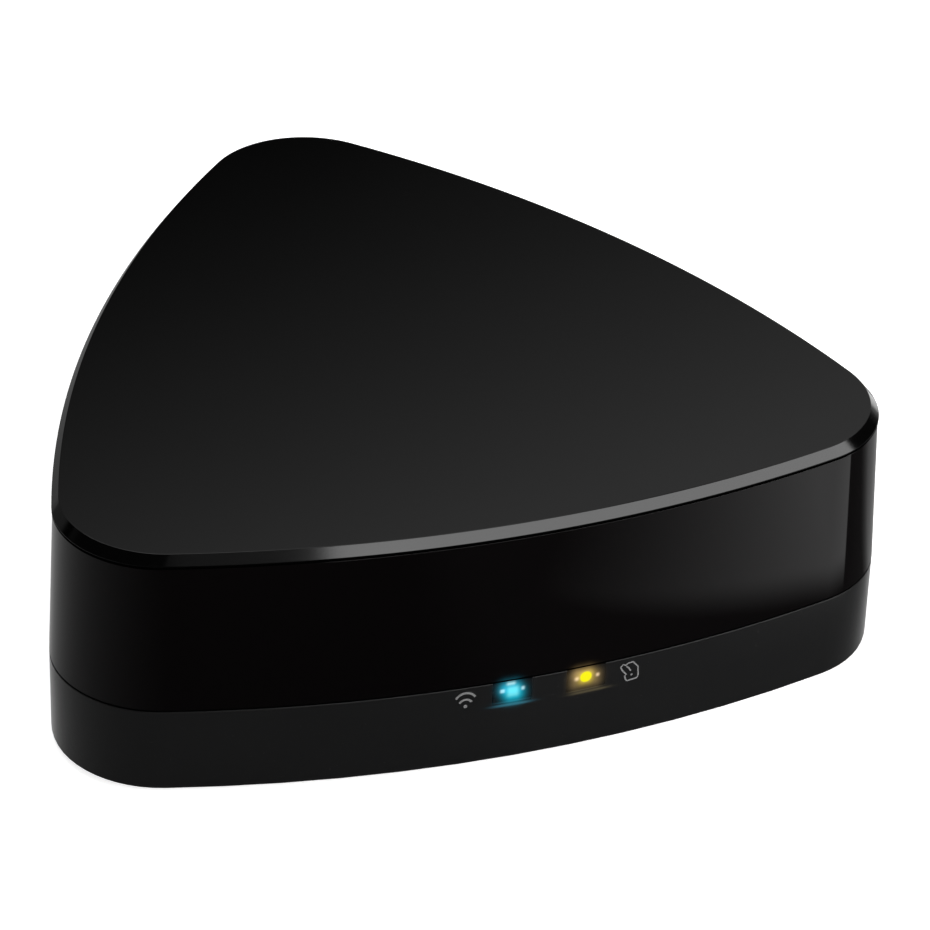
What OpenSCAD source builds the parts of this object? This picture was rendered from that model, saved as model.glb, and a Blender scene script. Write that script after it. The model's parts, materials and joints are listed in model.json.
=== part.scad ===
// Infrared remote-control hub: a rounded triangle with a matt base, an infrared-pass cover and a top plate.
// Millimetres. The origin is the middle of the footprint, on the plane the feet stand on. Front is -Y.

/* [Outline] */
// Distance from the middle of the triangle to the centre of each rounded corner
corner_reach = 50.4; // [49:0.1:56]
// Radius of the gently bowed sides, measured at the seam
side_r = 186.5; // [165:0.5:240]
// Radius of the rounded corners, measured at the seam
corner_r = 15.3; // [14:0.1:18]

/* [Base] */
// Height of the base from its underside to the seam
base_h = 12.8; // [12.4:0.1:16]
// How far the base's wall leans in between the seam and the underside
base_draft = 0.16; // [0.1:0.02:0.8]
// Wall thickness of the base and the cover
wall = 2; // [1.8:0.1:2.4]
// Thickness of the base's floor
floor_t = 2; // [1.6:0.1:2.4]
// Radius of the base's lower outer edge
edge_r = 0.6; // [0.3:0.1:1.2]
// Small bevel along both sides of the seam
seam_bevel = 0.15; // [0.05:0.05:0.3]
// Height of the tongue that locates the cover
tongue_h = 1.8; // [1.2:0.1:2.4]
// Thickness of that tongue
tongue_t = 0.9; // [0.7:0.05:1.1]

/* [Cover] */
// Height of the cover from the seam to its roof
cover_h = 22.5; // [20:0.1:28]
// How far the cover's wall leans in between the seam and the roof
cover_draft = 0.65; // [0.1:0.05:1]
// Thickness of the cover's roof
roof_t = 1.8; // [1.4:0.1:2.4]
// Height of the raised land that the top plate sits over
land_h = 0.8; // [0.4:0.1:1]
// Distance from the seam outline to the edge of that land
land_inset = 3; // [2.2:0.1:5]

/* [Top plate] */
// Height of the plate's upright rim
rim_h = 0.35; // [0.2:0.05:0.6]
// Distance from the seam outline to the rim
rim_inset = 0.5; // [0.3:0.05:0.8]
// Height of the bevel round the top face
bevel_h = 1.4; // [1:0.05:2]
// Width of that bevel, seen from above
bevel_w = 1; // [0.6:0.05:1.6]
// How much rounder the top face's corners are than a parallel outline
bevel_round = 0.6; // [0:0.1:2]
// Gap for glue between the land and the plate
glue_gap = 0.1; // [0.05:0.05:0.2]

/* [Feet and case screws] */
// Radius of each rubber foot
foot_r = 5.8; // [5:0.1:7]
// How far the feet stand out of the underside
foot_proud = 0.8; // [0.5:0.1:1.5]
// Depth of the recess that each foot is stuck in
foot_recess = 0.7; // [0.4:0.1:0.9]
// Bevel on the lower edge of each foot
foot_bevel = 0.3; // [0.1:0.05:0.4]
// Radius of the case screws' shanks
case_screw_r = 1.25; // [1:0.05:1.4]
// Length of the case screws under the head
case_screw_l = 14; // [12:0.5:15]
// Radius of the case screws' heads
case_head_r = 2.3; // [2:0.1:2.5]
// Height of the case screws' heads
case_head_h = 1.8; // [1.2:0.1:2]
// Radius of the screw bosses in the base
boss_r = 4; // [3.6:0.1:4.4]
// Radius of the screw bosses in the cover
cover_boss_r = 3.4; // [3:0.1:3.6]
// Height of the bosses' meeting face below the seam
boss_drop = 2; // [1.5:0.1:3]
// Depth from the underside to the seat of the screw heads
head_seat = 4; // [3.2:0.1:4.6]
// Thickness of the ribs that brace the bosses
rib_t = 1.2; // [0.8:0.1:1.6]
// Height of the base's ribs above the floor
rib_h = 5; // [3:0.1:5.6]
// Length of the cover's ribs below the roof
cover_rib_h = 12; // [6:0.5:14]

/* [Light windows] */
// Width of each window along the front
window_w = 5.7; // [4.8:0.1:6.4]
// Height of each window below the seam
window_h = 3.7; // [3.2:0.1:4.2]
// Place along the front of the left window's middle
window_left_x = -0.65; // [-4:0.05:1]
// Place along the front of the right window's middle
window_right_x = 10.05; // [9:0.05:14]
// Thickness of the flange behind each window
flange_t = 0.4; // [0.3:0.05:0.5]
// How far that flange reaches past the window
flange_w = 0.9; // [0.6:0.05:1.2]

/* [Indicator lights] */
// Length of each indicator's body along the front
led_w = 3.2; // [2.6:0.1:3.6]
// Height of each indicator's body above the board
led_h = 1.6; // [1.2:0.1:1.8]
// Depth of each indicator's body
led_d = 1.1; // [0.9:0.1:1.5]
// Length of the metal pad at each end
led_pad = 0.5; // [0.3:0.05:0.6]
// Radius of the round lens
led_lens_r = 0.75; // [0.5:0.05:0.8]
// Distance from the seam down to the indicators' middle
led_drop = 1.55; // [1.4:0.05:1.8]

/* [Board] */
// Thickness of the main board
board_t = 1.6; // [1:0.1:1.6]
// Gap between the board's edge and the wall, measured at the seam
board_gap = 0.8; // [0.6:0.05:1]
// Gap between the board's trimmed corners and the screw bosses
boss_gap = 1; // [0.8:0.1:2]
// Gap between the screw bosses and the posts that carry the board
post_gap = 3; // [2:0.1:4]
// Radius of the posts that carry the board
post_r = 3; // [2.4:0.1:3.2]
// Radius of the board screws' shanks
board_screw_r = 1; // [0.8:0.05:1.2]
// Length of the board screws under the head
board_screw_l = 6; // [5:0.5:7]
// Radius of the board screws' heads
board_head_r = 1.9; // [1.6:0.1:2.2]
// Height of the board screws' heads
board_head_h = 1.3; // [1:0.1:1.6]

/* [Power socket] */
// Width of the socket's metal shell
usb_w = 7.5; // [7:0.1:7.8]
// Height of the socket's metal shell
usb_h = 2.6; // [2.4:0.1:2.9]
// Depth of the socket
usb_d = 5.6; // [5:0.1:6]
// Metal thickness of the shell
usb_t = 0.3; // [0.2:0.05:0.35]
// Slant of the shell's lower corners
usb_slant = 0.9; // [0.6:0.1:1]
// Distance from the seam outline to the mouth of the socket
usb_set = 0.6; // [0.5:0.05:1]
// Gap between the shell and the cut-out in the wall
usb_gap = 0.25; // [0.15:0.05:0.4]

/* [Reset button] */
// Place of the button along its side, from the middle of the socket
reset_x = 13; // [11:0.5:18]
// Radius of the button
button_r = 1.9; // [1.6:0.05:2]
// Gap round the button in its hole
button_gap = 0.15; // [0.1:0.05:0.25]
// Radius of the collar that keeps the button in
collar_r = 2.5; // [2.3:0.05:2.7]
// Thickness of that collar
collar_t = 0.7; // [0.5:0.05:0.8]
// Travel of the button
reset_travel = 0.3; // [0.2:0.05:0.35]
// Width of the switch along the side
switch_w = 6; // [5.4:0.1:6.2]
// Height of the switch
switch_h = 3.5; // [3.4:0.1:3.8]
// Depth of the switch
switch_d = 3.5; // [3:0.1:4]

/* [Emitters and receiver] */
// Radius of an emitter's body
emitter_r = 2.5; // [1.5:0.1:2.6]
// Length of an emitter from its flange to its tip
emitter_l = 8.6; // [7:0.1:9]
// Height of the side emitters above the board
emitter_rise = 9.5; // [8:0.5:13]
// Gap between the side emitters' tips and the wall's inner face
emitter_gap = 2.7; // [2.2:0.1:4]
// Angle of the side emitters to each side of the middle of a side
emitter_angle = 22; // [18:1:26]
// Distance between the two leads of an emitter
lead_pitch = 2.54; // [2:0.02:2.6]
// Radius of the leads
lead_r = 0.3; // [0.2:0.05:0.35]
// Radius of the bend in the leads
lead_bend = 1; // [0.6:0.1:1.4]
// Width of the receiver's body
receiver_w = 5.8; // [5:0.1:6.2]
// Height of the receiver's body
receiver_h = 6.9; // [6:0.1:7.5]
// Depth of the receiver's body
receiver_d = 2.8; // [2.4:0.1:3.2]
// Radius of the receiver's dome
receiver_dome = 2; // [1.6:0.1:2.3]
// Height of the receiver above the board
receiver_rise = 2.5; // [1.5:0.1:4]
// Place of the receiver along the front
receiver_x = 5; // [2:0.5:8]
// Distance from the seam outline to the middle of the receiver
receiver_set = 8; // [7:0.5:10]

/* [Parts on the board] */
// Width of the radio module
module_w = 18; // [15:0.5:20]
// Length of the radio module
module_l = 25; // [22:0.5:26]
// Gap between the radio module and the rear post
module_gap = 3.4; // [1:0.1:6]
// Thickness of the radio module's board
module_t = 0.8; // [0.6:0.1:1.2]
// Length of the module that its antenna leaves bare
antenna_l = 6.5; // [5:0.5:8]
// Height of the module's shield
shield_h = 2.4; // [1.8:0.1:3]
// Metal thickness of the shield
shield_t = 0.2; // [0.15:0.05:0.3]
// Side of the processor's square body
mcu_w = 10; // [7:0.5:12]
// Height of the processor
mcu_h = 1.4; // [1:0.1:1.6]
// Length of the memory chip's body
flash_w = 5; // [4:0.1:5.4]
// Width of the memory chip's body
flash_d = 4; // [3.6:0.1:4.4]
// Height of the memory chip
flash_h = 1.5; // [1.2:0.1:1.8]
// Width of the regulator's body
regulator_w = 6.5; // [5:0.1:7]
// Depth of the regulator's body
regulator_d = 3.5; // [3:0.1:4]
// Height of the regulator
regulator_h = 1.6; // [1.2:0.1:1.8]
// Side of the inductor's base
inductor_w = 6; // [4:0.1:7]
// Height of the inductor
inductor_h = 3; // [2:0.1:4]
// Radius of the bulk capacitor
bulk_r = 3.15; // [2.5:0.05:4]
// Height of the bulk capacitor
bulk_h = 7.7; // [5:0.1:10]
// Length of the crystal's case
crystal_w = 11.4; // [8:0.1:12]
// Width of the crystal's case
crystal_d = 4.7; // [3.5:0.1:5]
// Height of the crystal
crystal_h = 3.2; // [2:0.1:4]
// Length, width and height of each small transistor
transistor_size = [2.9, 1.3, 1.1]; // [0.8:0.1:4]
// Length, width and height of each resistor
resistor_size = [1.6, 0.8, 0.45]; // [0.3:0.05:2.5]
// Length, width and height of each ceramic capacitor
ceramic_size = [2, 1.25, 1]; // [0.5:0.05:2.5]

/* [Hidden] */
$fn = 64;

// Overrun of a cut past the face that it breaks through
cut = 1;
// Running gap between pieces that slide into each other
slip = 0.1;
// Steps along a side and round a corner, and down the rounded lower edge
side_steps = 12;
corner_steps = 14;
edge_steps = 3;
sides = 3;
turn = 360 / sides;
corner_dir = -90 + turn / 2;

// Plan: each side bows about a point behind the opposite corner
half_side = corner_reach * cos(corner_dir);
side_set = sqrt(pow(side_r - corner_r, 2) - pow(half_side, 2)) - corner_reach / 2;
reach_back = corner_reach + corner_r;
reach_front = side_r - side_set;
board_r = corner_reach - boss_r - boss_gap;
post_reach = corner_reach - boss_r - post_gap - post_r;
plan_shift = (reach_front - reach_back) / 2;

// Levels
z_under = foot_proud;
z_floor = z_under + floor_t;
z_seam = z_under + base_h;
z_boss = z_seam - boss_drop;
z_roof = z_seam + cover_h;
z_ceiling = z_roof - roof_t;
z_top = z_roof + rim_h + bevel_h;
z_board = z_seam - led_drop - led_h / 2;
z_under_board = z_board - board_t;
z_usb = z_under_board - usb_h / 2;
z_reset = z_under_board - switch_h / 2;
z_emitter = z_board + emitter_rise;

// Walls
inner_fillet = 1;
roof_fillet = 1.5;
cover_inner_draft = 0.3;
tongue_lean = 0.05;
tongue_inset = wall - tongue_t;
groove_inset = tongue_inset - slip;
board_inset = wall + board_gap;

// Distance from the middle to the seam outline, at an angle to the middle of a side
function side_reach(angle) =
    sqrt(pow(side_r, 2) - pow(side_set * sin(angle), 2)) - side_set * cos(angle);
// Inset of the base's outer face at a height
function base_inset(z) = base_draft * (z_seam - z) / base_h;
// Centre of a corner whose rounding has the radius r and still meets sides drawn in by the inset
function corner_at(inset, r) =
    let (b = side_set, gap = side_r - inset - r)
    (sqrt(4 * (gap * gap - b * b) + b * b) - b) / 2;

// Points of the rounded triangle drawn in by the inset, anticlockwise, with corners rounder by the extra
function outline_points(inset, extra = 0) =
    let (r = corner_r - inset + extra,
        reach = corner_at(inset, r),
        half_angle = atan(reach * cos(corner_dir) / (side_set + reach / 2)),
        corner_half = turn / 2 - half_angle)
    [for (k = [0:sides - 1])
        let (dir = -90 + turn * k,
            bow = -side_set * [cos(dir), sin(dir)],
            corner = reach * [cos(dir + turn / 2), sin(dir + turn / 2)])
        each concat(
            [for (i = [0:side_steps])
                let (t = dir + half_angle * (2 * i / side_steps - 1))
                bow + (side_r - inset) * [cos(t), sin(t)]],
            [for (i = [1:corner_steps - 1])
                let (t = dir + turn / 2 + corner_half * (2 * i / corner_steps - 1))
                corner + r * [cos(t), sin(t)]])];

// Solid through sections of the outline, each [inset, height] or [inset, height, extra rounding]
module loft(sections) {
    rings = [for (s = sections) outline_points(s[0], len(s) > 2 ? s[2] : 0)];
    count = len(rings[0]);
    last = len(sections) - 1;
    points = [for (i = [0:last]) for (p = rings[i]) [p[0], p[1], sections[i][1]]];
    walls = [for (i = [0:last - 1]) for (j = [0:count - 1])
        let (a = i * count + j, b = i * count + (j + 1) % count)
        each [[a, a + count, b + count], [a, b + count, b]]];
    bottom = [for (j = [0:count - 1]) j];
    top = [for (j = [0:count - 1]) last * count + count - 1 - j];
    polyhedron(points = points, faces = concat([bottom], walls, [top]));
}

// Puts the middle of the footprint at the origin
module in_place() translate([0, plan_shift, 0]) children();
// A point on the line from the middle to a corner
module at_corner(k, reach, z) rotate(corner_dir + turn * k) translate([reach, 0, z]) children();
// A point on the seam outline of a side: X runs along the side, Y points into the housing
module on_side(k, along, z)
    rotate(turn * k)
        translate([0, side_set, 0])
            rotate(along / side_r * 180 / PI)
                translate([0, -side_r, z])
                    children();
// A box centred on X, from its near face to its far face along Y and from its foot up
module block(w, near, far, foot, top)
    translate([-w / 2, near, foot]) cube([w, far - near, top - foot]);

// Base: floor, drafted wall, tongue, screw bosses, board posts and the cut-outs
base_colour = "#1c1c1d";
boss_hole_r = case_screw_r + 2 * slip;
head_gap = 0.3;
module base_wall() {
    lower = base_inset(z_under + edge_r);
    difference() {
        loft(concat(
            [for (i = [0:edge_steps])
                let (t = 90 * i / edge_steps)
                [lower + edge_r * (1 - sin(t)), z_under + edge_r * (1 - cos(t))]],
            [[base_inset(z_seam - seam_bevel), z_seam - seam_bevel],
                [seam_bevel, z_seam],
                [tongue_inset, z_seam],
                [tongue_inset + tongue_lean, z_seam + tongue_h]]));
        loft([
            [wall + base_inset(z_floor) + inner_fillet, z_floor],
            [wall + base_inset(z_floor + inner_fillet), z_floor + inner_fillet],
            [wall, z_seam + tongue_h + cut]]);
    }
}
module base_bosses() {
    rib_end = corner_r - wall - base_draft + slip;
    for (k = [0:sides - 1]) {
        at_corner(k, corner_reach, z_floor) {
            cylinder(r = boss_r, h = z_boss - z_floor);
            for (side = [-1, 1]) rotate(side * turn / 2)
                translate([0, -rib_t / 2, 0]) cube([rib_end, rib_t, rib_h]);
        }
        at_corner(k, post_reach, z_floor) {
            cylinder(r = post_r, h = z_under_board - z_floor);
            translate([0, -rib_t / 2, 0]) cube([corner_reach - post_reach, rib_t, rib_h]);
        }
    }
}
module base_screw_holes() {
    for (k = [0:sides - 1]) {
        at_corner(k, corner_reach, z_under) {
            translate([0, 0, -cut]) cylinder(r = foot_r + slip, h = cut + foot_recess);
            cylinder(r = case_head_r + head_gap, h = head_seat);
            cylinder(r = boss_hole_r, h = base_h);
        }
        at_corner(k, post_reach, z_under_board - board_screw_l)
            cylinder(r = board_screw_r + slip / 2, h = board_screw_l + cut);
    }
}
module window_opening(along)
    on_side(0, along, 0) block(window_w, -cut, wall + cut, z_seam - window_h, z_seam);
module usb_opening()
    on_side(1, 0, z_usb) translate([0, -cut, 0]) usb_outline(usb_gap, wall + base_draft + 2 * cut);
module button_opening()
    on_side(1, reset_x, z_reset)
        translate([0, -cut, 0])
            rotate([-90, 0, 0]) cylinder(r = button_r + button_gap, h = wall + base_draft + 2 * cut);
module base_shell() color(base_colour) in_place()
    difference() {
        union() {
            base_wall();
            base_bosses();
        }
        base_screw_holes();
        window_opening(window_left_x);
        window_opening(window_right_x);
        usb_opening();
        button_opening();
    }

// Cover: infrared-pass shell with a groove over the tongue and long screw bosses
module cover_wall() {
    difference() {
        loft([[seam_bevel, z_seam], [0, z_seam + seam_bevel], [cover_draft, z_roof],
            [land_inset, z_roof], [land_inset, z_roof + land_h]]);
        loft([[groove_inset, z_seam - cut],
            [groove_inset, z_seam + tongue_h + slip],
            [wall, z_seam + tongue_h + slip],
            [wall + cover_inner_draft, z_ceiling - roof_fillet],
            [wall + cover_inner_draft + roof_fillet, z_ceiling]]);
    }
}
module ir_cover() color("#0b0709") in_place()
    difference() {
        union() {
            cover_wall();
            for (k = [0:sides - 1]) at_corner(k, corner_reach, z_boss) {
                cylinder(r = cover_boss_r, h = z_ceiling - z_boss + slip);
                for (side = [-1, 1]) rotate(side * turn / 2)
                    translate([0, -rib_t / 2, z_ceiling - z_boss - cover_rib_h])
                        cube([corner_r - wall, rib_t, cover_rib_h + slip]);
            }
        }
        for (k = [0:sides - 1]) at_corner(k, corner_reach, z_boss - cut)
            cylinder(r = case_screw_r + slip / 2, h = case_screw_l + cut);
    }

// Top plate: satin plate with a bevel that widens round the corners, located over the cover's land
module top_plate() color("#0d0d0e") in_place()
    difference() {
        loft([[rim_inset, z_roof], [rim_inset, z_roof + rim_h], [rim_inset + bevel_w, z_top, bevel_round]]);
        loft([[land_inset - slip, z_roof - cut], [land_inset - slip, z_roof + land_h + glue_gap]]);
    }

// Light windows: a pane flush with the wall and a flange behind it, both bowed like the wall
module wall_strip(along, width, section) {
    half_turn = width / 2 / side_r * 180 / PI;
    on_side(0, along, 0) translate([0, side_r, 0])
        rotate_extrude(angle = 2 * half_turn, start = -90 - half_turn)
            polygon([for (p = section) [side_r - p[0], p[1]]]);
}
module light_window(along) color("#2a3034", 0.6) in_place() {
    foot = z_seam - window_h + slip;
    top = z_seam - slip;
    flange_foot = foot - flange_w;
    flange_near = wall + base_inset(flange_foot) + slip;
    wall_strip(along, window_w - 2 * slip, [[base_inset(foot), foot], [base_inset(top), top],
        [flange_near + flange_t / 2, top], [flange_near + flange_t / 2, foot]]);
    wall_strip(along, window_w + 2 * flange_w, [[flange_near, flange_foot], [flange_near, top],
        [flange_near + flange_t, top], [flange_near + flange_t, flange_foot]]);
}
module window_left() light_window(window_left_x);
module window_right() light_window(window_right_x);

// Rubber feet, stuck in their recesses over the case screws
module foot(k) color("#232323") in_place()
    at_corner(k, corner_reach, 0) {
        cylinder(r1 = foot_r - foot_bevel, r2 = foot_r, h = foot_bevel);
        translate([0, 0, foot_bevel]) cylinder(r = foot_r, h = foot_proud + foot_recess - foot_bevel);
    }

// Screws: pan head below or above its shank, with a cross recess
recess_share = 0.55;
recess_t_share = 0.16;
module screw(shank_r, shank_l, head_r, head_h) {
    difference() {
        union() {
            cylinder(r = head_r, h = head_h * (1 - recess_share) + slip);
            translate([0, 0, head_h * (1 - recess_share)])
                cylinder(r1 = head_r, r2 = head_r * (1 - recess_share / 2), h = head_h * recess_share);
        }
        for (a = [0, 90]) rotate(a)
            translate([-head_r * recess_share, -head_r * recess_t_share, head_h * (1 - recess_share)])
                cube([2 * head_r * recess_share, 2 * head_r * recess_t_share, head_h]);
    }
    translate([0, 0, -shank_l]) cylinder(r = shank_r, h = shank_l + slip);
}
module case_screws() color("#8f9296") in_place()
    for (k = [0:sides - 1]) at_corner(k, corner_reach, z_under + head_seat)
        mirror([0, 0, 1]) screw(case_screw_r, case_screw_l, case_head_r, case_head_h);
module board_screws() color("#9a9da1") in_place()
    for (k = [0:sides - 1]) at_corner(k, post_reach, z_board)
        screw(board_screw_r, board_screw_l, board_head_r, board_head_h);

// Main board: follows the walls, trimmed clear of the screw bosses, with a relief behind the button
lead_hole_r = lead_r + slip;
relief_w = 2 * (collar_r + 4 * slip);
relief_d = 1.8;
module main_board() color("#1d5a33") in_place()
    translate([0, 0, z_under_board]) difference() {
        linear_extrude(board_t) intersection() {
            circle(board_r);
            intersection_for(k = [0:sides - 1]) rotate(turn * k)
                translate([0, side_set]) circle(side_r - board_inset, $fn = 4 * $fn);
        }
        for (k = [0:sides - 1]) at_corner(k, post_reach, -cut)
            cylinder(r = board_screw_r + 2 * slip, h = board_t + 2 * cut);
        on_side(1, reset_x, 0) block(relief_w, -cut, board_inset + relief_d, -cut, board_t + cut);
        for (i = [0:2 * sides]) emitter_frame(i)
            for (side = [-1, 1]) translate([0, side * lead_pitch / 2, -cut])
                cylinder(r = lead_hole_r, h = board_t + 2 * cut);
        receiver_frame() for (side = [-1:1]) translate([side * lead_pitch, 0, -cut])
            cylinder(r = lead_hole_r, h = board_t + 2 * cut);
    }

// Power socket: slanted lower corners, metal shell and the insert with its tongue
module usb_section(grow) {
    w = usb_w / 2 + grow;
    h = usb_h / 2 + grow;
    polygon([[-w, h], [w, h], [w, -h + usb_slant],
        [w - usb_slant, -h], [-w + usb_slant, -h], [-w, -h + usb_slant]]);
}
module usb_outline(grow, depth)
    rotate([90, 0, 0]) mirror([0, 0, 1]) linear_extrude(depth) usb_section(grow);
module usb_shell() color("#b9bcc0") in_place()
    on_side(1, 0, z_usb) difference() {
        translate([0, usb_set, 0]) usb_outline(0, usb_d);
        translate([0, usb_set - cut, 0]) usb_outline(-usb_t, usb_d + 2 * cut);
    }
usb_tongue_w = 3.8;
usb_tongue_h = 0.6;
usb_back = 1.2;
module usb_insert() color("#16171a") in_place()
    on_side(1, 0, z_usb) {
        translate([0, usb_set + usb_d - usb_back, 0]) usb_outline(-usb_t - slip / 2, usb_back);
        block(usb_tongue_w, usb_set + usb_t, usb_set + usb_d - usb_back / 2,
            usb_h / 2 - usb_t - 2 * usb_tongue_h, usb_h / 2 - usb_t - usb_tongue_h);
    }

// Reset button, its switch and the switch's plunger, along the inward axis of their place on the side
collar_near = wall + base_inset(z_reset - collar_r) + slip;
plunger_near = collar_near + collar_t + reset_travel + 2 * slip;
switch_near = plunger_near + reset_travel + 4 * slip;
plunger_w = 2.4;
plunger_h = 1.4;
plunger_inside = 1.5;
hub_r = 1;
button_set = 0.2;
module inward(near, far, r) translate([0, near, 0]) rotate([-90, 0, 0]) cylinder(r = r, h = far - near);
module reset_button() color("#2b2b2c") in_place()
    on_side(1, reset_x, z_reset) {
        inward(base_inset(z_reset) + button_set, collar_near + slip, button_r);
        inward(collar_near, collar_near + collar_t, collar_r);
        inward(collar_near + collar_t - slip, plunger_near, hub_r);
    }
module reset_plunger() color("#efe6cf") in_place()
    on_side(1, reset_x, z_reset)
        block(plunger_w, plunger_near, switch_near + plunger_inside, -plunger_h / 2, plunger_h / 2);
module reset_switch() color("#3a3b3e") in_place()
    on_side(1, reset_x, z_reset) difference() {
        block(switch_w, switch_near, switch_near + switch_d, -switch_h / 2, switch_h / 2);
        block(plunger_w + 2 * slip, switch_near - cut, switch_near + plunger_inside + reset_travel + slip,
            -plunger_h / 2 - slip, plunger_h / 2 + slip);
    }

// Radio module with its shield, between the middle and the rear corner
shield_edge = 1.1;
module_far = post_reach - post_r - module_gap;
module module_frame() translate([-module_w / 2, module_far - module_l, z_board]) children();
module wifi_module() color("#14171c") in_place()
    module_frame() cube([module_w, module_l, module_t]);
module wifi_shield() color("#c4c6c9") in_place()
    module_frame() translate([shield_edge, shield_edge, module_t]) {
        shield_w = module_w - 2 * shield_edge;
        shield_l = module_l - antenna_l - shield_edge;
        difference() {
            cube([shield_w, shield_l, shield_h]);
            translate([shield_t, shield_t, -cut])
                cube([shield_w - 2 * shield_t, shield_l - 2 * shield_t, shield_h + cut - shield_t]);
        }
    }

// Infrared emitters: six look out through the cover, two to a side, and the seventh looks up
emitter_flange = 1;
emitter_rim = 0.4;
top_gap = 1;
upright = 2 * sides;
lead_reach = side_reach(emitter_angle) - wall - emitter_gap - emitter_l - 2 * lead_bend;
function emitter_dir(i) = -90 + turn * floor(i / 2) + (i % 2 == 0 ? -emitter_angle : emitter_angle);
// The foot of an emitter's leads, on the board's level zero, with X pointing outwards
module emitter_frame(i)
    if (i == upright) children();
    else rotate(emitter_dir(i)) translate([lead_reach, 0, 0]) children();
module emitter_body() {
    cylinder(r = emitter_r + emitter_rim, h = emitter_flange);
    cylinder(r = emitter_r, h = emitter_l - emitter_r);
    translate([0, 0, emitter_l - emitter_r]) sphere(r = emitter_r);
}
module ir_emitter(i) color("#b8c4d4", 0.8) in_place()
    if (i == upright) translate([0, 0, z_ceiling - top_gap - emitter_l]) emitter_body();
    else emitter_frame(i) translate([2 * lead_bend, 0, z_emitter]) rotate([0, 90, 0]) emitter_body();
module lead(i) {
    foot = z_under_board - lead_bend;
    if (i == upright)
        translate([0, 0, foot]) cylinder(r = lead_r, h = z_ceiling - top_gap - emitter_l - foot);
    else {
        translate([0, 0, foot]) cylinder(r = lead_r, h = z_emitter - lead_bend - foot);
        translate([lead_bend, 0, z_emitter - lead_bend])
            rotate([90, 0, 0]) rotate_extrude(angle = 90, start = 90)
                translate([lead_bend, 0]) circle(lead_r, $fn = 24);
        translate([lead_bend, 0, z_emitter]) rotate([0, 90, 0]) cylinder(r = lead_r, h = lead_bend);
    }
}
module emitter_leads() color("#c9cbce") in_place()
    for (i = [0:upright]) emitter_frame(i)
        for (side = [-1, 1]) translate([0, side * lead_pitch / 2, 0]) lead(i);

// Infrared receiver for learning codes: a block with a dome that faces the front
module receiver_frame() on_side(0, receiver_x, 0) translate([0, receiver_set, 0]) children();
module ir_receiver() color("#1a1216") in_place()
    receiver_frame() translate([0, 0, z_board + receiver_rise]) {
        block(receiver_w, -receiver_d / 2, receiver_d / 2, 0, receiver_h);
        translate([0, -receiver_d / 2, receiver_h / 2]) intersection() {
            sphere(r = receiver_dome);
            block(receiver_w, -receiver_d, 0, -receiver_h / 2, receiver_h / 2);
        }
    }
module receiver_leads() color("#c9cbce") in_place()
    receiver_frame() for (side = [-1:1]) translate([side * lead_pitch, 0, z_under_board - lead_bend])
        cylinder(r = lead_r, h = board_t + lead_bend + receiver_rise);

// Indicator lights: side-looking chips at the front edge of the board
module indicator(along, tint) in_place()
    on_side(0, along, z_board) translate([0, board_inset + slip, 0]) {
        color(tint) block(led_w - 2 * led_pad, 0, led_d, 0, led_h);
        color(tint) translate([0, slip, led_h / 2]) rotate([90, 0, 0])
            cylinder(r1 = led_lens_r, r2 = led_lens_r - slip, h = 2 * slip);
        color("#d8d9da") for (side = [-1, 1])
            translate([side * (led_w - led_pad) / 2, 0, 0]) block(led_pad, 0, led_d, 0, led_h);
    }
module wifi_led() indicator(window_left_x, "#39c2dd");
module learn_led() indicator(window_right_x, "#f2c400");

// Chips with rows of pins along their sides
pin_w = 0.4;
pin_l = 0.9;
pin_t = 0.2;
chip_lift = 0.1;
module pins(count, row, reach)
    for (i = [0:count - 1]) translate([(i - (count - 1) / 2) * row / count - pin_w / 2, reach - pin_t, 0])
        cube([pin_w, pin_l + pin_t, pin_t + chip_lift]);
mcu_pins = 9;
flash_pins = 4;
mcu_place_share = [0.33, -0.36];
flash_place_share = [0.02, -0.42];
module mcu_chip() color("#18191b") in_place()
    translate([board_r * mcu_place_share[0], board_r * mcu_place_share[1], z_board]) {
        translate([0, 0, chip_lift]) block(mcu_w, -mcu_w / 2, mcu_w / 2, 0, mcu_h - chip_lift);
        for (a = [0:90:270]) rotate(a) pins(mcu_pins, mcu_w, mcu_w / 2);
    }
module flash_chip() color("#1a1b1d") in_place()
    translate([board_r * flash_place_share[0], board_r * flash_place_share[1], z_board]) {
        translate([0, 0, chip_lift]) block(flash_w, -flash_d / 2, flash_d / 2, 0, flash_h - chip_lift);
        for (a = [0, 180]) rotate(a) pins(flash_pins, flash_w, flash_d / 2);
    }

// Power parts near the socket
regulator_place_share = [0.56, 0.22];
inductor_place_share = [0.36, 0.02];
bulk_place_share = [0.56, -0.06];
crystal_place_share = [0.02, -0.17];
regulator_pins = 3;
module regulator() color("#1b1c1e") in_place()
    translate([board_r * regulator_place_share[0], board_r * regulator_place_share[1], z_board]) {
        translate([0, 0, chip_lift])
            block(regulator_w, -regulator_d / 2, regulator_d / 2, 0, regulator_h - chip_lift);
        pins(regulator_pins, regulator_w, regulator_d / 2);
        block(regulator_w / 2, -regulator_d / 2 - pin_l, -regulator_d / 2 + pin_t, 0, pin_t + chip_lift);
    }
drum_share = 0.46;
inductor_base = 0.8;
module power_inductor() color("#3c3e42") in_place()
    translate([board_r * inductor_place_share[0], board_r * inductor_place_share[1], z_board]) {
        block(inductor_w, -inductor_w / 2, inductor_w / 2, 0, inductor_base);
        cylinder(r = inductor_w * drum_share, h = inductor_h);
    }
bulk_base = 1;
bulk_foot_share = 1.04;
module bulk_capacitor() color("#b4b7bb") in_place()
    translate([board_r * bulk_place_share[0], board_r * bulk_place_share[1], z_board]) {
        foot = bulk_r * bulk_foot_share;
        block(2 * foot, -foot, foot, 0, bulk_base);
        cylinder(r = bulk_r, h = bulk_h);
    }
crystal_base = 0.7;
crystal_wall_share = 0.86;
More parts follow.
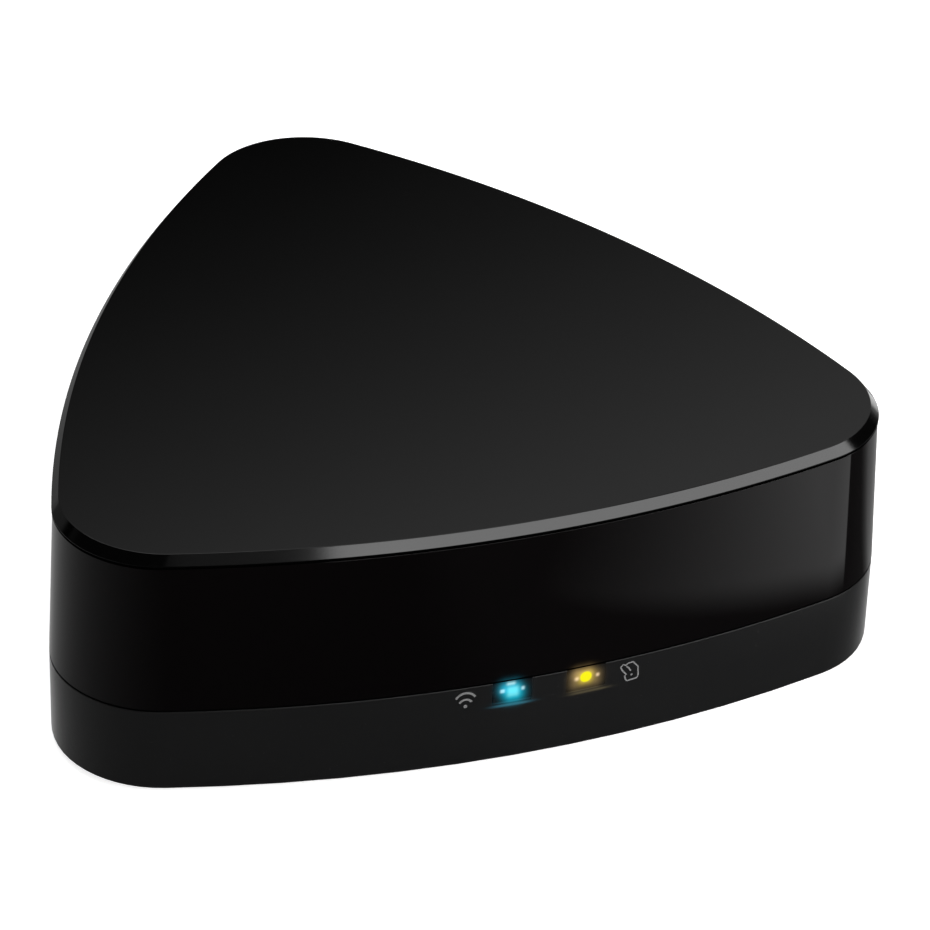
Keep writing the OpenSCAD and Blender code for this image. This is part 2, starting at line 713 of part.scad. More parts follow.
module crystal() color("#c0c2c5") in_place()
    translate([board_r * crystal_place_share[0], board_r * crystal_place_share[1], z_board]) {
        block(crystal_w, -crystal_d / 2, crystal_d / 2, 0, crystal_base);
        linear_extrude(crystal_h) {
            r = crystal_d / 2 * crystal_wall_share;
            for (side = [-1, 1]) translate([side * (crystal_w / 2 - crystal_d / 2), 0]) circle(r);
            translate([-crystal_w / 2 + crystal_d / 2, -r]) square([crystal_w - crystal_d, 2 * r]);
        }
    }

// Small parts, each a group of separate bodies placed on the board
module placed_blocks(size, places, quarter = 0)
    for (p = places) translate([board_r * p[0], board_r * p[1], z_board]) rotate(quarter)
        block(size[0], -size[1] / 2, size[1] / 2, 0, size[2]);
transistor_place_shares = [[-0.36, -0.4], [-0.36, -0.5], [-0.36, -0.6]];
resistor_place_shares = [
    for (i = [0:5]) [-0.48, -0.3 - 0.06 * i],
    for (i = [0:3]) [0.2 + 0.07 * i, -0.56],
    for (i = [0:3]) [-0.34 + 0.06 * i, -0.06]];
ceramic_place_shares = [
    for (i = [0:2]) [0.16 - 0.07 * i, -0.3],
    for (i = [0:3]) [0.56, -0.2 - 0.07 * i],
    for (i = [0:2]) [-0.5 + 0.08 * i, 0.14]];
module driver_transistors() color("#1a1a1c") in_place()
    placed_blocks(transistor_size, transistor_place_shares);
module resistors() color("#26272a") in_place()
    placed_blocks(resistor_size, resistor_place_shares, 90);
module ceramic_capacitors() color("#a58c68") in_place()
    placed_blocks(ceramic_size, ceramic_place_shares, 90);

base_shell();
ir_cover();
top_plate();
window_left();
window_right();
foot(0);  // foot_1
foot(1);  // foot_2
foot(2);  // foot_3
case_screws();
board_screws();
main_board();
usb_shell();
usb_insert();
reset_button();
reset_plunger();
reset_switch();
wifi_module();
wifi_shield();
ir_emitter(0);  // ir_emitter_1
ir_emitter(1);  // ir_emitter_2
ir_emitter(2);  // ir_emitter_3
ir_emitter(3);  // ir_emitter_4
ir_emitter(4);  // ir_emitter_5
ir_emitter(5);  // ir_emitter_6
ir_emitter(6);  // ir_emitter_7
emitter_leads();
ir_receiver();
receiver_leads();
wifi_led();
learn_led();
mcu_chip();
flash_chip();
regulator();
power_inductor();
bulk_capacitor();
crystal();
driver_transistors();
resistors();
ceramic_capacitors();
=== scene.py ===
"""Looks of a rounded triangular infrared hub: mouldings, finishes, lit indicators, studio and camera."""
import json
import math

import bpy
from mathutils import Matrix, Quaternion, Vector


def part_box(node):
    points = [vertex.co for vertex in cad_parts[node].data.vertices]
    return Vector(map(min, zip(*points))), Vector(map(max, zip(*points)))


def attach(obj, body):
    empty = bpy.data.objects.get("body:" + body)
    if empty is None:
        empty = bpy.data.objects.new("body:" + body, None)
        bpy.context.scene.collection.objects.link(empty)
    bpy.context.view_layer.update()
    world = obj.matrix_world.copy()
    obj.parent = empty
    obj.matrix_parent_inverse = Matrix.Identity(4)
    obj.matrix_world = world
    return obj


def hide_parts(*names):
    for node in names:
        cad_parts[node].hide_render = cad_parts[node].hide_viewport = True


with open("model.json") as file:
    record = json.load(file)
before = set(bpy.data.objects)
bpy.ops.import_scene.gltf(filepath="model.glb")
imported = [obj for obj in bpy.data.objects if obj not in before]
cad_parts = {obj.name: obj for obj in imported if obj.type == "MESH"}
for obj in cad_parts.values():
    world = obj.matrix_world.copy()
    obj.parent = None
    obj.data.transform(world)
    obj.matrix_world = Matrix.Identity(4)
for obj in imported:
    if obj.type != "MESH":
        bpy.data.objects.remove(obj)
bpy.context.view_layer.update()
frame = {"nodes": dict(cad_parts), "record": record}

# Plan of the seam outline, in metres
CORNER_REACH = 0.0504
SIDE_R = 0.1865
CORNER_R = 0.0153
SIDES = 3
TURN = 2 * math.pi / SIDES
CORNER_DIR = -math.pi / 2 + TURN / 2
RIGHT_CORNER, LEFT_CORNER = 0, 2
SIDE_STEPS = 36
CORNER_STEPS = 30

# Sizes of the mouldings, in metres
WALL = 0.002
BASE_DRAFT = 0.00016
TONGUE_H = 0.0018
TONGUE_T = 0.0009
COVER_DRAFT = 0.00065
COVER_INNER_DRAFT = 0.0003
ROOF_T = 0.0018
ROOF_FILLET = 0.0015
LAND_H = 0.0008
LAND_INSET = 0.003
GLUE_GAP = 0.0001
SLIP = 0.0001
SEAM_BEVEL = 0.00006
NOTCH_H = 0.00025
NOTCH_DEPTH = 0.0004
COVER_BREAK = 0.00022
# Inset and drop of the black bands of painted shade in the shadow lines
SHADE_BAND_INSET = 0.00005
SHADE_BAND_DROP = 0.00001
RIM_H = 0.00035
RIM_INSET = 0.0005
RIM_UNDERCUT = 0.00025
BEVEL_W = 0.001
BEVEL_ROUND = 0.0006
EDGE_FILLET = 0.00012
FINE_FILLET = 0.00006
CAP_STEP = 0.002
BOSS_DROP = 0.002
BOSS_R = 0.0034
BOSS_BORE = 0.0013
BOSS_BORE_DEPTH = 0.0104
RIB_T = 0.0012
RIB_H = 0.012
MERGE_DISTANCE = 0.000002
SMOOTH_ANGLE = math.radians(20)

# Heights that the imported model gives
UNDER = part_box("base_shell")[0].z
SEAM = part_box("base_shell")[1].z - TONGUE_H
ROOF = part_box("top_plate")[0].z
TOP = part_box("top_plate")[1].z
CEILING = ROOF - ROOF_T
BASE_H = SEAM - UNDER

# Plan values that follow from the outline
HALF_SIDE = CORNER_REACH * math.cos(CORNER_DIR)
SIDE_SET = math.sqrt((SIDE_R - CORNER_R) ** 2 - HALF_SIDE ** 2) - CORNER_REACH / 2
PLAN_SHIFT = ((SIDE_R - SIDE_SET) - (CORNER_REACH + CORNER_R)) / 2


def corner_at(inset, radius):
    """Reach of a corner's centre whose rounding still meets sides drawn in by the inset."""
    gap = SIDE_R - inset - radius
    return (math.sqrt(4 * (gap * gap - SIDE_SET ** 2) + SIDE_SET ** 2) - SIDE_SET) / 2


def outline(inset, extra=0.0):
    """Points of the rounded triangle, anticlockwise, each with the angle of its outward normal."""
    radius = CORNER_R - inset + extra
    reach = corner_at(inset, radius)
    half_angle = math.atan(reach * math.cos(CORNER_DIR) / (SIDE_SET + reach / 2))
    corner_half = TURN / 2 - half_angle
    ring = []
    for k in range(SIDES):
        heading = -math.pi / 2 + TURN * k
        bow = Vector((-SIDE_SET * math.cos(heading), PLAN_SHIFT - SIDE_SET * math.sin(heading)))
        turned = heading + TURN / 2
        corner = Vector((reach * math.cos(turned), PLAN_SHIFT + reach * math.sin(turned)))
        for i in range(SIDE_STEPS + 1):
            t = heading + half_angle * (2 * i / SIDE_STEPS - 1)
            ring.append((bow + (SIDE_R - inset) * Vector((math.cos(t), math.sin(t))), t))
        for i in range(1, CORNER_STEPS):
            t = turned + corner_half * (2 * i / CORNER_STEPS - 1)
            ring.append((corner + radius * Vector((math.cos(t), math.sin(t))), t))
    return ring


def rounded_path(corners, steps=4):
    """Rounds a path's corners, each (inset, height, extra, fillet).

    Gives its points, and for each stretch its two straight lines and its shares of the way between them."""
    flat = [Vector((c[0], c[1])) for c in corners]
    points = [corners[0][:3]]
    stretches = []
    last = len(corners) - 1
    for i in range(1, last):
        fillet = corners[i][3]
        back, ahead = flat[i - 1] - flat[i], flat[i + 1] - flat[i]
        if fillet > 0:
            half = back.angle(ahead) / 2
            run = fillet / math.tan(half)
            to_back, to_ahead = back.normalized(), ahead.normalized()
            centre = flat[i] + (to_back + to_ahead).normalized() * fillet / math.sin(half)
            start = flat[i] + to_back * run - centre
            sweep = start.angle_signed(flat[i] + to_ahead * run - centre)
            points.append((*(centre + start), corners[i][2]))
            stretches.append((i - 1, i - 1, 0, 0))
            for s in range(1, steps + 1):
                arm = start.copy()
                arm.rotate(Matrix.Rotation(-sweep * s / steps, 2))
                points.append((*(centre + arm), corners[i][2]))
                stretches.append((i - 1, i, (s - 1) / steps, s / steps))
        else:
            points.append(corners[i][:3])
            stretches.append((i - 1, i - 1, 0, 0))
    points.append(corners[last][:3])
    stretches.append((last - 1, last - 1, 0, 0))
    return points, stretches


def lofted(corners):
    """A closed moulding: the path carried round the outline, capped at both ends, with true normals."""
    points, stretches = rounded_path(corners)
    rings = [outline(p[0], p[2]) for p in points]
    count = len(rings[0])
    verts = [(*p, points[i][1]) for i, ring in enumerate(rings) for p, _ in ring]
    guides = [outline(c[0], c[2]) for c in corners]

    def line_normal(line, column, angle):
        """Normal of one straight line of the path, at one column of the outline."""
        a, b = guides[line][column][0], guides[line + 1][column][0]
        rise = corners[line + 1][1] - corners[line][1]
        along = Vector((-math.sin(angle), math.cos(angle), 0))
        return along.cross(Vector((b.x - a.x, b.y - a.y, rise))).normalized()

    def normal(stretch, at_end, ring, column):
        """Normal at the start or end of a stretch, mixed between its lines in a fillet."""
        first, second, start, end = stretches[stretch]
        share = end if at_end else start
        angle = rings[ring][column][1]
        mixed = line_normal(first, column, angle) * (1 - share)
        if share:
            mixed += line_normal(second, column, angle) * share
        return mixed.normalized()

    faces, normals = [list(range(count - 1, -1, -1))], [Vector((0, 0, -1))] * count
    for i in range(len(rings) - 1):
        for j in range(count):
            n = (j + 1) % count
            faces.append([i * count + j, i * count + n, (i + 1) * count + n, (i + 1) * count + j])
            normals += [normal(i, False, i, j), normal(i, False, i, n),
                        normal(i, True, i + 1, n), normal(i, True, i + 1, j)]
    faces.append([(len(rings) - 1) * count + j for j in range(count)])
    normals += [Vector((0, 0, 1))] * count
    return verts, faces, normals


def tube(centre, outer, inner, foot, top, bore_top, steps=48):
    """A closed post with a blind bore from its foot."""
    rows = [(outer, top), (outer, foot), (inner, foot), (inner, bore_top)]
    verts, faces = [], []
    for radius, z in rows:
        for i in range(steps):
            t = 2 * math.pi * i / steps
            verts.append((centre[0] + radius * math.cos(t), centre[1] + radius * math.sin(t), z))
    faces.append(list(range(steps)))
    for r in range(len(rows) - 1):
        for i in range(steps):
            n = (i + 1) % steps
            faces.append([r * steps + i, (r + 1) * steps + i, (r + 1) * steps + n, r * steps + n])
    faces.append([(len(rows) - 1) * steps + i for i in range(steps)][::-1])
    return verts, faces


def box_of(corner, size, turn, origin):
    """A box's vertices and faces, turned about the vertical and moved to the origin."""
    spots = [(x, y, z) for z in (0, 1) for y in (0, 1) for x in (0, 1)]
    rotation = Matrix.Rotation(turn, 3, "Z")
    verts = []
    for spot in spots:
        local = Vector([corner[a] + spot[a] * size[a] for a in range(3)])
        verts.append(tuple(rotation @ local + Vector(origin)))
    faces = [[0, 2, 3, 1], [4, 5, 7, 6], [0, 1, 5, 4], [1, 3, 7, 5], [3, 2, 6, 7], [2, 0, 4, 6]]
    return verts, faces


def new_mesh(name, verts, faces, normals=None):
    """A mesh object in the scene, smooth with its own normals where they are given."""
    mesh = bpy.data.meshes.new(name)
    mesh.from_pydata(verts, [], faces)
    mesh.update()
    if normals:
        mesh.polygons.foreach_set("use_smooth", [True] * len(faces))
        mesh.normals_split_custom_set([tuple(n) for n in normals])
    piece = bpy.data.objects.new(name, mesh)
    bpy.context.scene.collection.objects.link(piece)
    return piece


def corner_point(k, reach):
    """A point on the line from the middle to corner k: right, rear or left."""
    t = CORNER_DIR + TURN * k
    return Vector((reach * math.cos(t), PLAN_SHIFT + reach * math.sin(t), 0))


def face_normals(verts, faces):
    """A flat normal for each corner of each face."""
    found = []
    for face in faces:
        a, b, c = (Vector(verts[face[i]]) for i in (0, 1, 2))
        found += [(b - a).cross(c - b).normalized()] * len(face)
    return found


def make_cover():
    """Infrared-pass cover: drafted wall, land for the plate, groove over the tongue, posts and ribs."""
    groove = WALL - TONGUE_T - SLIP
    lip = SEAM + TONGUE_H + SLIP
    inner = WALL + COVER_INNER_DRAFT
    corners = [
        (inner + ROOF_FILLET + CAP_STEP, CEILING, 0, 0),
        (inner, CEILING, 0, ROOF_FILLET),
        (WALL, lip, 0, 0),
        (groove, lip, 0, 0),
        (groove, SEAM, 0, FINE_FILLET),
        (NOTCH_DEPTH, SEAM, 0, 0),
        (NOTCH_DEPTH, SEAM + NOTCH_H, 0, 0),
        (0, SEAM + NOTCH_H, 0, SEAM_BEVEL),
        (COVER_DRAFT, ROOF - COVER_BREAK, 0, FINE_FILLET),
        (COVER_DRAFT + COVER_BREAK, ROOF, 0, 0),
        (LAND_INSET, ROOF, 0, 0),
        (LAND_INSET, ROOF + LAND_H, 0, FINE_FILLET),
        (LAND_INSET + CAP_STEP, ROOF + LAND_H, 0, 0)]
    verts, faces, normals = lofted(corners)
    foot = SEAM - BOSS_DROP
    for k in range(SIDES):
        centre = corner_point(k, CORNER_REACH)
        parts = [tube(centre, BOSS_R, BOSS_BORE, foot, CEILING + SLIP, foot + BOSS_BORE_DEPTH)]
        for side in (-1, 1):
            parts.append(box_of((0, -RIB_T / 2, 0), (CORNER_R - WALL, RIB_T, RIB_H + SLIP),
                                CORNER_DIR + TURN * k + side * TURN / 2,
                                (centre.x, centre.y, CEILING - RIB_H)))
        for more_verts, more_faces in parts:
            shift = len(verts)
            verts += more_verts
            normals += face_normals(more_verts, more_faces)
            faces += [[v + shift for v in face] for face in more_faces]
    return new_mesh("cover_moulding", verts, faces, normals)


def make_plate():
    """Top plate: upright rim, bevel that widens round the corners, recess over the cover's land."""
    recess = LAND_INSET - SLIP
    corners = [
        (recess + CAP_STEP, ROOF + LAND_H + GLUE_GAP, 0, 0),
        (recess, ROOF + LAND_H + GLUE_GAP, 0, 0),
        (recess, ROOF, 0, 0),
        (RIM_INSET + RIM_UNDERCUT, ROOF, 0, 0),
        (RIM_INSET, ROOF + RIM_H, 0, EDGE_FILLET),
        (RIM_INSET + BEVEL_W, TOP, BEVEL_ROUND, EDGE_FILLET),
        (RIM_INSET + BEVEL_W + CAP_STEP, TOP, BEVEL_ROUND, 0)]
    return new_mesh("top_plate_moulding", *lofted(corners))


def make_shade_band(name, corners):
    """A black band of painted shade in a shadow line: a closed section of (inset, height) points carried
    round the outline.
    """
    rings = [outline(inset) for inset, _ in corners]
    count, rows = len(rings[0]), len(corners)
    verts = [(*p, corners[i][1]) for i, ring in enumerate(rings) for p, _ in ring]
    faces = []
    for i in range(rows):
        m = (i + 1) % rows
        for j in range(count):
            n = (j + 1) % count
            faces.append([i * count + j, i * count + n, m * count + n, m * count + j])
    return new_mesh(name, verts, faces)


def smooth_by_angle(limit):
    """A modifier's node group: joins split vertices, smooths all but the edges sharper than the limit."""
    group = bpy.data.node_groups.new("smooth_by_angle", "GeometryNodeTree")
    group.interface.new_socket("Geometry", in_out="INPUT", socket_type="NodeSocketGeometry")
    group.interface.new_socket("Geometry", in_out="OUTPUT", socket_type="NodeSocketGeometry")
    make = group.nodes.new
    start, end = make("NodeGroupInput"), make("NodeGroupOutput")
    drop, merge = make("GeometryNodeRemoveAttribute"), make("GeometryNodeMergeByDistance")
    smooth, sharp = make("GeometryNodeSetShadeSmooth"), make("GeometryNodeSetShadeSmooth")
    angle, over = make("GeometryNodeInputMeshEdgeAngle"), make("FunctionNodeCompare")
    drop.inputs["Name"].default_value = "custom_normal"
    merge.inputs["Distance"].default_value = MERGE_DISTANCE
    sharp.domain = "EDGE"
    sharp.inputs["Shade Smooth"].default_value = False
    over.operation = "GREATER_THAN"
    over.inputs[1].default_value = limit
    link = group.links.new
    link(start.outputs[0], drop.inputs["Geometry"])
    link(drop.outputs["Geometry"], merge.inputs["Geometry"])
    link(merge.outputs["Geometry"], smooth.inputs["Geometry"])
    link(smooth.outputs["Geometry"], sharp.inputs["Geometry"])
    link(angle.outputs["Unsigned Angle"], over.inputs[0])
    link(over.outputs["Result"], sharp.inputs["Selection"])
    link(sharp.outputs["Geometry"], end.inputs[0])
    return group


# Sockets of the Mix node that hold colours
MIX_FIRST, MIX_SECOND, MIX_RESULT = 6, 7, 2
# The middle range of a noise, over which a finish changes
NOISE_RANGE = (0.3, 0.7)


class Finish:
    """A material, with short ways to add its nodes and join them."""

    def __init__(self, name):
        self.material = bpy.data.materials.new(name)
        self.material.use_nodes = True
        self.tree = self.material.node_tree
        self.shader = self.tree.nodes["Principled BSDF"]
        self.output = self.tree.nodes["Material Output"]

    def node(self, kind, inputs=None, **settings):
        """A new node with its settings and inputs."""
        made = self.tree.nodes.new(kind)
        for key, value in settings.items():
            setattr(made, key, value)
        for key, value in (inputs or {}).items():
            self.put(made.inputs[key], value)
        return made

    def put(self, socket, value):
        """Links another node's socket, or sets a plain value."""
        if isinstance(value, bpy.types.NodeSocket):
            self.tree.links.new(value, socket)
        else:
            socket.default_value = value

    def math(self, operation, a, b=0.0):
        return self.node("ShaderNodeMath", {0: a, 1: b}, operation=operation).outputs[0]

    def vector(self, operation, a, b=(0, 0, 0)):
        made = self.node("ShaderNodeVectorMath", {0: a, 1: b}, operation=operation)
        return made.outputs["Value" if operation == "LENGTH" else "Vector"]

    def place(self):
        """Place on the object, in metres."""
        return self.node("ShaderNodeTexCoord").outputs["Object"]

    def noise(self, size, detail, roughness=0.5):
        """Noise whose features are about the size, in metres."""
        made = self.node("ShaderNodeTexNoise", {"Vector": self.place(), "Scale": 1 / size,
                                                "Detail": detail, "Roughness": roughness})
        return made.outputs["Fac"]

    def spread(self, value, low, high, to_low, to_high, smooth=False):
        """The value's range carried over to another range, and held at its ends."""
        made = self.node("ShaderNodeMapRange", {"Value": value, "From Min": low, "From Max": high,
                                                "To Min": to_low, "To Max": to_high},
                         interpolation_type="SMOOTHSTEP" if smooth else "LINEAR")
        return made.outputs["Result"]

    def mix(self, share, a, b):
        """A colour between a and b, by the share."""
        made = self.node("ShaderNodeMix", data_type="RGBA")
        self.put(made.inputs["Factor"], share)
        self.put(made.inputs[MIX_FIRST], a)
        self.put(made.inputs[MIX_SECOND], b)
        return made.outputs[MIX_RESULT]

    def bump(self, height, distance, strength=1.0, below=None):
        inputs = {"Height": height, "Distance": distance, "Strength": strength}
        if below is not None:
            inputs["Normal"] = below
        return self.node("ShaderNodeBump", inputs).outputs["Normal"]

    def set(self, **values):
        """Sets the shader's inputs, with _ for a space in their names."""
        for key, value in values.items():
            self.put(self.shader.inputs[key.replace("_", " ")], value)
        return self


def rgb(r, g, b):
    """A colour in linear light."""
    return (r, g, b, 1.0)


def scaled(colour, factor):
    """A colour made lighter or darker."""
    return rgb(*(min(1.0, c * factor) for c in colour[:3]))


# Shares by which a finish's tone and roughness change, and a metal's texture in metres
TONE_SHARES = (0.85, 1.15)
ROUGH_SHARES = (0.92, 1.08)
METAL_GRAIN, METAL_GRAIN_DEPTH = 0.0003, 0.000002
METAL_PATCH = 0.004


def moulded(name, colour, rough, grain=0.0002, depth=0.000004, patch=0.02):
    """Moulded plastic or rubber: fine grain in the surface, slow changes of tone and roughness."""
    f = Finish(name)
    slow = f.noise(patch, detail=2)
    fine = f.noise(grain, detail=3)
    tone = f.mix(slow, scaled(colour, TONE_SHARES[0]), scaled(colour, TONE_SHARES[1]))
    f.set(Base_Color=tone, Normal=f.bump(fine, depth),
          Roughness=f.spread(slow, *NOISE_RANGE, rough * ROUGH_SHARES[0], rough * ROUGH_SHARES[1]))
    return f


def metal(name, colour, rough):
    """Plated or brushed metal with faint scuffs."""
    f = moulded(name, colour, rough, METAL_GRAIN, METAL_GRAIN_DEPTH, METAL_PATCH)
    return f.set(Metallic=1.0)


# Light of the two indicators on the front, painted on as emission: a painted glow on the windows, base and
# cover, painted highlights under the windows, and the lit parts seen in them.
# Each spot has its place along X, its depth below the seam, half width, half height, softness across and
# up, all in metres, and its colour
BLUE_HAZE = rgb(0.018, 0.35, 0.50)
BLUE_BODY_GLOW = rgb(0.002, 0.44, 0.60)
BLUE_CORE = rgb(0.13, 0.22, 0.13)
BLUE_BAR = rgb(0.36, 0.46, 0.42)
BLUE_DOT = rgb(0.38, 0.52, 0.54)
BLUE_SILL_HIGHLIGHT = rgb(0.020, 0.10, 0.14)
BLUE_LINE_HIGHLIGHT = rgb(0.010, 0.05, 0.07)
GOLD_HAZE = rgb(0.27, 0.18, 0.069)
GOLD_BODY_GLOW = rgb(0.16, 0.11, 0.045)
GOLD_CORE = rgb(0.50, 0.38, 0.0)
GOLD_DOT = rgb(0.62, 0.46, 0.29)
GOLD_SILL_HIGHLIGHT = rgb(0.060, 0.050, 0.026)
GOLD_LINE_HIGHLIGHT = rgb(0.045, 0.037, 0.020)
YELLOW = rgb(0.97, 0.91, 0.003)
FRONT_DEPTH = 0.006
# Painted glow round each window, spread over the window, the base and the cover
PAINTED_GLOW = [
    (-0.00107, 0.00110, 0.00055, 0.00008, 0.00094, 0.00094, BLUE_HAZE),
    (-0.00047, 0.00215, 0.00030, 0.00017, 0.00109, 0.00105, BLUE_BODY_GLOW),
    (0.00950, 0.00080, 0.00070, 0.0, 0.00090, 0.00086, GOLD_HAZE),
    (0.00994, 0.00200, 0.00140, 0.00038, 0.00095, 0.00100, GOLD_BODY_GLOW)]
# Painted highlights of the glow along the lower edges of the windows
PAINTED_SILL_HIGHLIGHTS = [
    (-0.00060, 0.00388, 0.00130, 0.00003, 0.00150, 0.00019, BLUE_SILL_HIGHLIGHT),
    (-0.00070, 0.00334, 0.00130, 0.00001, 0.00130, 0.00013, BLUE_LINE_HIGHLIGHT),
    (0.01060, 0.00410, 0.00140, 0.00003, 0.00150, 0.00017, GOLD_SILL_HIGHLIGHT),
    (0.01000, 0.00368, 0.00120, 0.00001, 0.00130, 0.00012, GOLD_LINE_HIGHLIGHT)]
# Painted light of each indicator's core, bar and dots as seen through its window
PAINTED_SPOTS = [
    (-0.00058, 0.00174, 0.00046, 0.00045, 0.00040, 0.00040, BLUE_CORE),
    (-0.00090, 0.00041, 0.00034, 0.0, 0.00031, 0.00028, BLUE_BAR),
    (-0.00210, 0.00147, 0.00012, 0.00010, 0.00022, 0.00020, BLUE_DOT),
    (0.00083, 0.00145, 0.00004, 0.00009, 0.00021, 0.00021, BLUE_DOT),
    (0.00996, 0.00168, 0.00030, 0.00030, 0.00076, 0.00070, GOLD_CORE),
    (0.00864, 0.00170, 0.00002, 0.00004, 0.00030, 0.00028, GOLD_DOT),
    (0.01169, 0.00164, 0.00003, 0.00006, 0.00023, 0.00023, GOLD_DOT)]
DISC_X, DISC_DEPTH = 0.00996, 0.00160
DISC_R = 0.00084
DISC_EDGE = 0.00014


def spot(f, x, depth, half_w, half_h, soft_w, soft_h):
    """Level of a soft spot on the front, 1 inside its half sizes and fading round them."""
    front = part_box("base_shell")[0].y
    offset = f.vector("ABSOLUTE", f.vector("SUBTRACT", f.place(), (x, front, SEAM - depth)))
    outside = f.vector("MAXIMUM", f.vector("SUBTRACT", offset, (half_w, 0, half_h)))
    scaled_out = f.vector("MULTIPLY", outside, (1 / soft_w, 1 / FRONT_DEPTH, 1 / soft_h))
    distance = f.vector("LENGTH", scaled_out)
    return f.math("EXPONENT", f.math("MULTIPLY", f.math("MULTIPLY", distance, distance), -1.0))


def glow(f, spots):
    """Paints the light of the spots onto a finish as emission, a painted glow."""
    total = None
    for *shape, colour in spots:
        lit = f.mix(spot(f, *shape), rgb(0, 0, 0), colour)
        total = lit if total is None else f.vector("ADD", total, lit)
    f.put(f.shader.inputs["Emission Color"], total)
    f.put(f.shader.inputs["Emission Strength"], 1.0)
    return f


# Base: sizes and depths of its texture in metres, tones and roughness
BASE_GRAIN, BASE_GRAIN_DEPTH, BASE_GRAIN_SHARE = 0.00022, 0.00001, 0.6
BASE_PITS, BASE_PIT_DEPTH, BASE_PIT_SHARE = 0.0006, 0.000012, 0.5
BASE_PATCH = 0.018
BASE_TONES = (rgb(0.0070, 0.0070, 0.0072), rgb(0.0094, 0.0094, 0.0096))
BASE_ROUGH = (0.35, 0.43)
SHEEN_ROUGH = 0.25
SPECK_SIZE, SPECK_RANGE = 0.0005, (0.74, 0.8)
SPECK_TONE = rgb(0.024, 0.024, 0.024)


def base_finish():
    """Matt spark-eroded black plastic with rare pale specks, a soft sheen at its edges, and the indicators'
    painted glow and sill highlights.
    """
    f = Finish("base_matt")
    grain = f.noise(BASE_GRAIN, detail=4, roughness=0.6)
    pits = f.noise(BASE_PITS, detail=2)
    slow = f.noise(BASE_PATCH, detail=2)
    specks = f.spread(f.noise(SPECK_SIZE, detail=1), *SPECK_RANGE, 0.0, 1.0)
    grained = f.bump(grain, BASE_GRAIN_DEPTH, BASE_GRAIN_SHARE)
    f.set(Base_Color=f.mix(specks, f.mix(slow, *BASE_TONES), SPECK_TONE),
          Roughness=f.spread(grain, *NOISE_RANGE, *BASE_ROUGH),
          Sheen_Weight=1.0, Sheen_Roughness=SHEEN_ROUGH, Sheen_Tint=rgb(1, 1, 1),
          Normal=f.bump(pits, BASE_PIT_DEPTH, BASE_PIT_SHARE, grained))
    return glow(f, PAINTED_GLOW + PAINTED_SILL_HIGHLIGHTS)


# Cover and top plate: slow changes, fine waves or grain in metres, tones and roughness
SHELL_PATCH = 0.03
COVER_TONES = (rgb(0.0011, 0.0007, 0.0008), rgb(0.0015, 0.0010, 0.0011))
COVER_ROUGH = (0.035, 0.055)
COVER_WAVE, COVER_WAVE_DEPTH = 0.004, 0.0000004
PLATE_TONES = (rgb(0.0008, 0.0008, 0.0008), rgb(0.0011, 0.0011, 0.0011))
PLATE_ROUGH = (0.09, 0.11)
PLATE_GRAIN, PLATE_GRAIN_DEPTH = 0.00012, 0.0000006


def cover_finish():
    """Glossy infrared-pass plastic, black with the faintest red in it, and the indicators' painted glow
    near the seam.
    """
    f = Finish("cover_gloss")
    slow = f.noise(SHELL_PATCH, detail=2)
    f.set(Base_Color=f.mix(slow, *COVER_TONES), Roughness=f.spread(slow, *NOISE_RANGE, *COVER_ROUGH),
          Normal=f.bump(f.noise(COVER_WAVE, detail=1), COVER_WAVE_DEPTH))
    return glow(f, PAINTED_GLOW)


def plate_finish():
    """Satin black plate with a very fine grain."""
    f = Finish("plate_satin")
    slow = f.noise(SHELL_PATCH, detail=2)
    f.set(Base_Color=f.mix(slow, *PLATE_TONES), Roughness=f.spread(slow, *NOISE_RANGE, *PLATE_ROUGH),
          Normal=f.bump(f.noise(PLATE_GRAIN, detail=2), PLATE_GRAIN_DEPTH))
    return f


WINDOW_PATCH = 0.002
WINDOW_TONES = (rgb(0.005, 0.006, 0.007), rgb(0.007, 0.008, 0.009))
WINDOW_ROUGH, WINDOW_IOR = 0.22, 1.45


def window_finish():
    """Smoked window with the indicator's light painted on it as emission."""
    f = Finish("window_smoke")
    slow = f.noise(WINDOW_PATCH, detail=2)
    f.set(Base_Color=f.mix(slow, *WINDOW_TONES), Roughness=WINDOW_ROUGH, IOR=WINDOW_IOR)
    glow(f, PAINTED_GLOW + PAINTED_SILL_HIGHLIGHTS + PAINTED_SPOTS)
    # The yellow indicator's round lens is painted on as a lit disc with a crisp edge
    offset = f.vector("SUBTRACT", f.place(), (DISC_X, 0, SEAM - DISC_DEPTH))
    distance = f.vector("LENGTH", f.vector("MULTIPLY", offset, (1, 0, 1)))
    disc = f.spread(distance, DISC_R + DISC_EDGE, DISC_R - DISC_EDGE, 0.0, 1.0, smooth=True)
    socket = f.shader.inputs["Emission Color"]
    f.put(socket, f.mix(disc, socket.links[0].from_socket, YELLOW))
    return f


LAMP_CELLS = 0.0003
LAMP_ROUGH = 0.3
LAMP_STRENGTH = 2.0


def lamp_finish(name, colour):
    """Lit face of an indicator, its light varying a little in fine cells."""
    f = Finish(name)
    lit = f.mix(f.noise(LAMP_CELLS, detail=2), scaled(colour, TONE_SHARES[0]), colour)
    f.set(Base_Color=colour, Roughness=LAMP_ROUGH, Emission_Color=lit, Emission_Strength=LAMP_STRENGTH)
    return f


WEAVE_SCALE = 320.0
WEAVE_DEPTH, WEAVE_SHARE = 0.00001, 0.3
WEAVE_TONES = (0.8, 1.2)
BOARD_ROUGH = 0.35


def laminate(name, colour):
    """Printed board: glass weave under solder resist."""
    f = Finish(name)
    threads = [f.node("ShaderNodeTexWave", {"Vector": f.place(), "Scale": WEAVE_SCALE}, bands_direction=way)
               for way in ("X", "Y")]
    weave = f.math("MULTIPLY", *(thread.outputs["Fac"] for thread in threads))
    f.set(Base_Color=f.mix(weave, scaled(colour, WEAVE_TONES[0]), scaled(colour, WEAVE_TONES[1])),
          Roughness=BOARD_ROUGH, Normal=f.bump(weave, WEAVE_DEPTH, WEAVE_SHARE))
    return f


